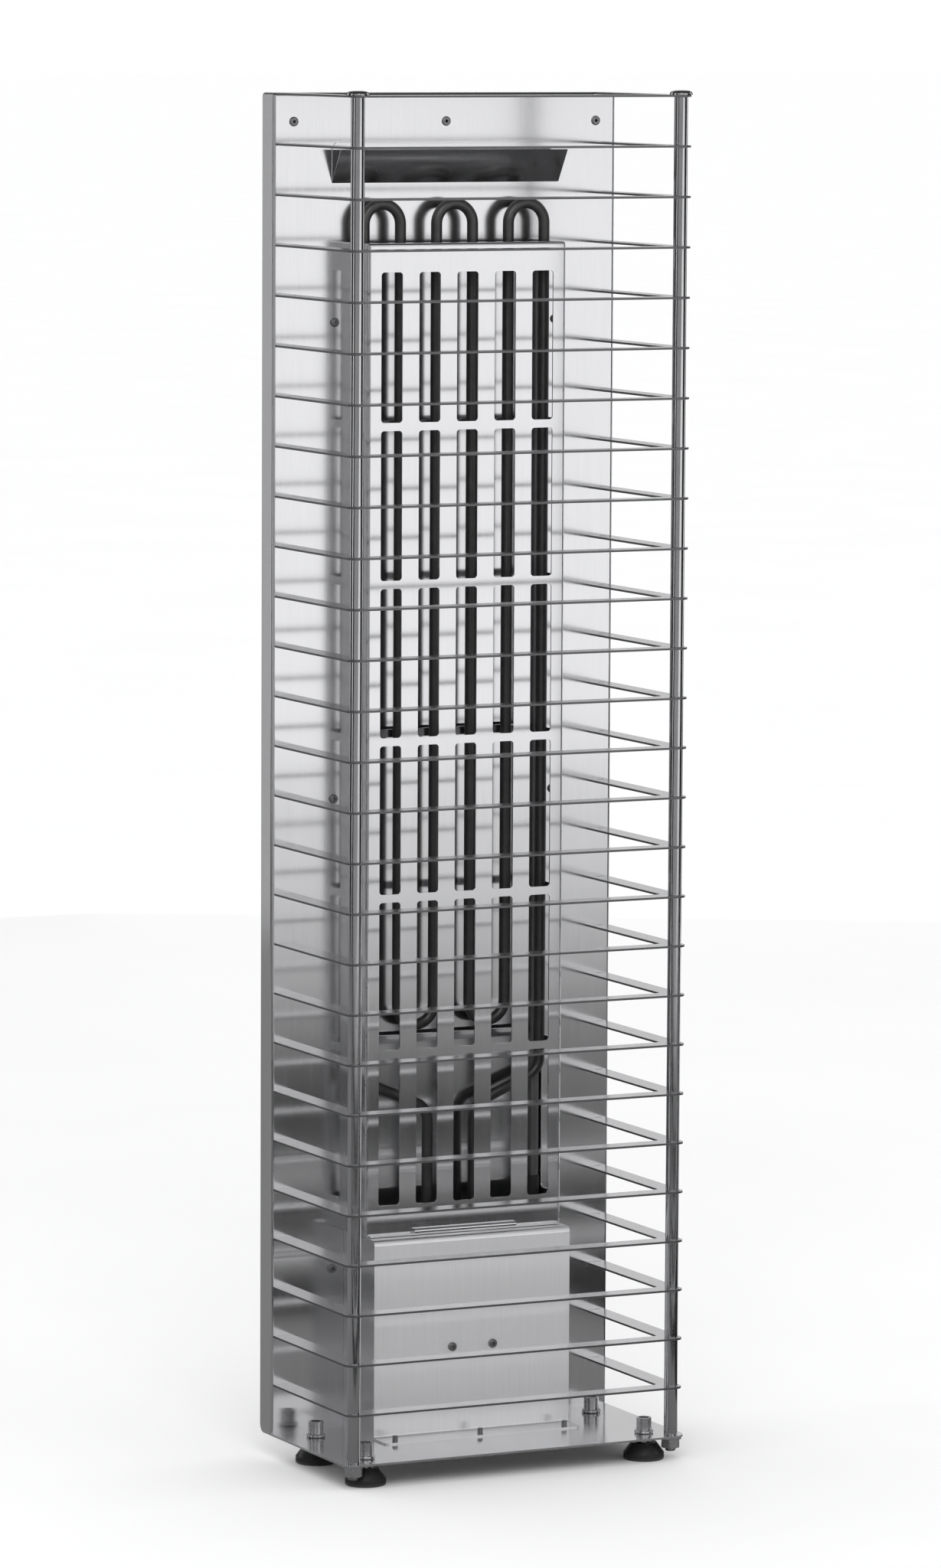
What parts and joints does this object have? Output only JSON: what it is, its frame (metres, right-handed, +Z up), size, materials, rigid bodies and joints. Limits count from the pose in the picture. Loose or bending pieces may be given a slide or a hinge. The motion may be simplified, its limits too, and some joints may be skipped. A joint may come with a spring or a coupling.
{
  "type": "electric sauna heater",
  "caption": "Electric tower sauna heater without stones: folded panel and base, slotted element housing, terminal box, and a strip cage on two posts with levelling feet.",
  "frame": {"origin": "middle of the footprint on the floor", "axes": "+Z up, -Y to the front, +X to the right seen from the front"},
  "size_m": [0.278, 0.1518, 1.0079],
  "materials": {
    "sheet_steel": "fine vertical brushed grain, folded sheet",
    "cage_steel": "brushed flat strip with bright edges",
    "post_steel": "polished tube",
    "fastener_steel": "bright zinc",
    "element_steel": "satin dark oxidised tube",
    "sensor_steel": "satin tube",
    "black_rubber": "matt",
    "block_plastic": "moulded",
    "limiter_plastic": "moulded",
    "button_plastic": "moulded",
    "gland_plastic": "moulded",
    "lead_sleeve": "silicone sleeve",
    "foot_plastic": "moulded"
  },
  "bodies": {
    "frame": {"cage_strip_01": "cage_steel", "cage_strip_02": "cage_steel", "cage_strip_03": "cage_steel", "cage_strip_04": "cage_steel", "cage_strip_05": "cage_steel", "cage_strip_06": "cage_steel", "cage_strip_07": "cage_steel", "cage_strip_08": "cage_steel", "cage_strip_09": "cage_steel", "cage_strip_10": "cage_steel", "cage_strip_11": "cage_steel", "cage_strip_12": "cage_steel", "cage_strip_13": "cage_steel", "cage_strip_14": "cage_steel", "cage_strip_15": "cage_steel", "cage_strip_16": "cage_steel", "cage_strip_17": "cage_steel", "cage_strip_18": "cage_steel", "cage_strip_19": "cage_steel", "cage_strip_20": "cage_steel", "cage_strip_21": "cage_steel", "cage_strip_22": "cage_steel", "cage_strip_23": "cage_steel", "cage_strip_24": "cage_steel", "cage_strip_25": "cage_steel", "cage_strip_26": "cage_steel", "cage_strip_27": "cage_steel", "back_panel": "sheet_steel", "element_housing": "sheet_steel", "terminal_cover": "sheet_steel", "terminal_chassis": "sheet_steel", "air_deflector": "sheet_steel", "hanging_rail": "sheet_steel", "rear_heat_shield": "sheet_steel", "element_brackets": "sheet_steel", "left_post": "post_steel", "right_post": "post_steel", "post_spacers": "post_steel", "post_fasteners": "fastener_steel", "foot_inserts": "fastener_steel", "rail_rivets": "fastener_steel", "shield_screws": "fastener_steel", "terminal_cover_screws": "fastener_steel", "element_bushings": "fastener_steel", "heating_element": "element_steel", "sensor_tube": "sensor_steel", "sensor_sleeve": "black_rubber", "terminal_block": "block_plastic", "limiter_body": "limiter_plastic", "cable_gland": "gland_plastic", "internal_leads": "lead_sleeve"},
    "foot_front_left": {"foot_stud_front_left": "fastener_steel", "foot_pad_front_left": "foot_plastic"},
    "foot_front_right": {"foot_stud_front_right": "fastener_steel", "foot_pad_front_right": "foot_plastic"},
    "foot_back_left": {"foot_stud_back_left": "fastener_steel", "foot_pad_back_left": "foot_plastic"},
    "foot_back_right": {"foot_stud_back_right": "fastener_steel", "foot_pad_back_right": "foot_plastic"},
    "reset_button": {"limiter_button": "button_plastic"}
  },
  "joints": [
    {"name": "foot_front_left_height", "type": "slide", "parent": "frame", "child": "foot_front_left", "axis": [0, 0, -1], "range_m": [0, 0.006]},
    {"name": "foot_front_right_height", "type": "slide", "parent": "frame", "child": "foot_front_right", "axis": [0, 0, -1], "range_m": [0, 0.006]},
    {"name": "foot_back_left_height", "type": "slide", "parent": "frame", "child": "foot_back_left", "axis": [0, 0, -1], "range_m": [0, 0.006]},
    {"name": "foot_back_right_height", "type": "slide", "parent": "frame", "child": "foot_back_right", "axis": [0, 0, -1], "range_m": [0, 0.006]},
    {"name": "reset_button_press", "type": "slide", "parent": "frame", "child": "reset_button", "axis": [0, 0, 1], "range_m": [0, 0.002], "stiffness_N_per_m": 1500, "springref_m": -0.001}
  ]
}
